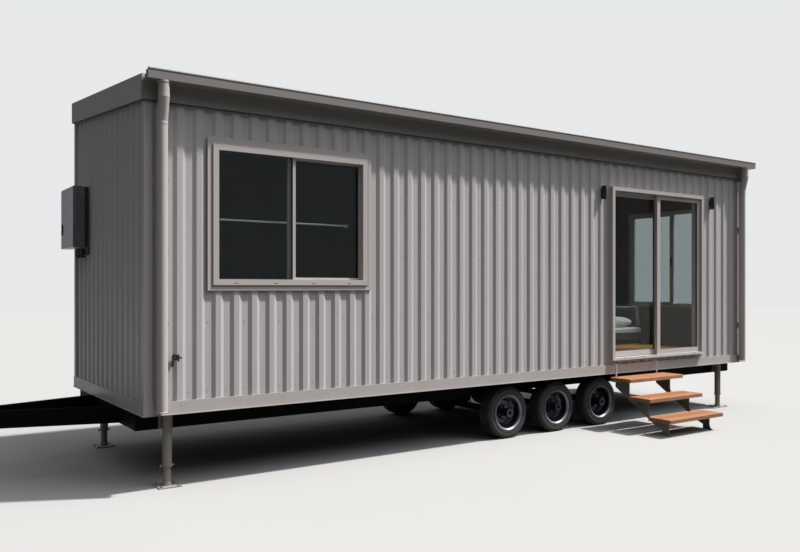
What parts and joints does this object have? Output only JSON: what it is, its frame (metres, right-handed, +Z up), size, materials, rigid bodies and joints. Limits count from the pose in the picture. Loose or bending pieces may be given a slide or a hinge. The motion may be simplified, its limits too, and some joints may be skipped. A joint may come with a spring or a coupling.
{
  "type": "tiny house on a trailer",
  "caption": "Rib-clad tiny house with a mono-pitch roof on a braked-type multi-axle trailer, with a sliding glass door, timber steps, windows and jack legs.",
  "frame": {"origin": "centre of the whole footprint, drawbar and steps included, on the ground", "axes": "+X along the house from the drawbar end to the far end, +Y from the door side to the rear, +Z up"},
  "size_m": [10.11, 3.354, 3.6028],
  "materials": {
    "chassis_steel": "black paint",
    "trim": "matt folded trim",
    "bed_timber": "dark boards",
    "cushion_cloth": "woven",
    "mattress_cloth": "woven",
    "door_glass": "tinted",
    "door_frame": "powder coated",
    "window_frame": "powder coated",
    "window_glass": "tinted",
    "timber_floor": "oiled boards",
    "wall_cladding": "matt rib cladding",
    "wall_lining": "lined wall panel",
    "tap_black": "black",
    "heater_pipe": "dull",
    "leg_steel": "taupe paint",
    "spring_steel": "black paint",
    "roof_sheet": "matt rib roofing",
    "step_steel": "dark grey paint",
    "step_timber": "oiled hardwood",
    "tyre": "matt rubber",
    "lamp_black": "black",
    "heater_casing": "pale enamel",
    "wheel_steel": "dark grey paint"
  },
  "bodies": {
    "house": {"axle_rails": "chassis_steel", "axles": "chassis_steel", "barge_trims": "trim", "base_trim": "trim", "corner_trims": "trim", "cross_members": "chassis_steel", "daybed": "bed_timber", "daybed_cushion": "cushion_cloth", "daybed_mattress": "mattress_cloth", "door_fixed_glass": "door_glass", "door_fixed_leaf": "door_frame", "door_frame": "door_frame", "downpipes": "trim", "drawbar": "chassis_steel", "end_window_frame": "window_frame", "end_window_glass": "window_glass", "floor_panel": "timber_floor", "front_cladding": "wall_cladding", "front_fascia": "trim", "front_wall": "wall_lining", "front_wall_over_door": "wall_lining", "front_wall_right": "wall_lining", "front_window_frame": "window_frame", "front_window_glass": "window_glass", "garden_tap": "tap_black", "gutter": "trim", "heater_pipes": "heater_pipe", "jack_legs": "leg_steel", "leaf_springs": "spring_steel", "left_end_cladding": "wall_cladding", "left_end_wall": "wall_lining", "mudguards": "chassis_steel", "rear_cladding": "wall_cladding", "rear_wall": "wall_lining", "right_end_cladding": "wall_cladding", "right_end_wall": "wall_lining", "roof_panel": "wall_lining", "roof_sheet": "roof_sheet", "side_rails": "chassis_steel", "step_stringers": "step_steel", "step_tread_1": "step_timber", "step_tread_2": "step_timber", "step_tread_3": "step_timber", "tow_coupling": "chassis_steel", "wall_lamps": "lamp_black", "water_heater": "heater_casing"},
    "sliding_door": {"door_sliding_leaf": "door_frame", "door_sliding_glass": "door_glass"},
    "road_wheel_1": {"tyre_1": "tyre", "wheel_1": "wheel_steel"},
    "road_wheel_2": {"tyre_2": "tyre", "wheel_2": "wheel_steel"},
    "road_wheel_3": {"tyre_3": "tyre", "wheel_3": "wheel_steel"},
    "road_wheel_4": {"tyre_4": "tyre", "wheel_4": "wheel_steel"},
    "road_wheel_5": {"tyre_5": "tyre", "wheel_5": "wheel_steel"},
    "road_wheel_6": {"tyre_6": "tyre", "wheel_6": "wheel_steel"}
  },
  "joints": [
    {"name": "door_slide", "type": "slide", "parent": "house", "child": "sliding_door", "axis": [1, 0, 0], "range_m": [0, 0.77]},
    {"name": "wheel_spin_1", "type": "hinge", "parent": "house", "child": "road_wheel_1", "pos_m": [0.645, -0.553, 0.285], "axis": [0, 1, 0], "continuous": true},
    {"name": "wheel_spin_2", "type": "hinge", "parent": "house", "child": "road_wheel_2", "pos_m": [1.395, -0.553, 0.285], "axis": [0, 1, 0], "continuous": true},
    {"name": "wheel_spin_3", "type": "hinge", "parent": "house", "child": "road_wheel_3", "pos_m": [2.145, -0.553, 0.285], "axis": [0, 1, 0], "continuous": true},
    {"name": "wheel_spin_4", "type": "hinge", "parent": "house", "child": "road_wheel_4", "pos_m": [0.645, 1.457, 0.285], "axis": [0, 1, 0], "continuous": true},
    {"name": "wheel_spin_5", "type": "hinge", "parent": "house", "child": "road_wheel_5", "pos_m": [1.395, 1.457, 0.285], "axis": [0, 1, 0], "continuous": true},
    {"name": "wheel_spin_6", "type": "hinge", "parent": "house", "child": "road_wheel_6", "pos_m": [2.145, 1.457, 0.285], "axis": [0, 1, 0], "continuous": true}
  ]
}
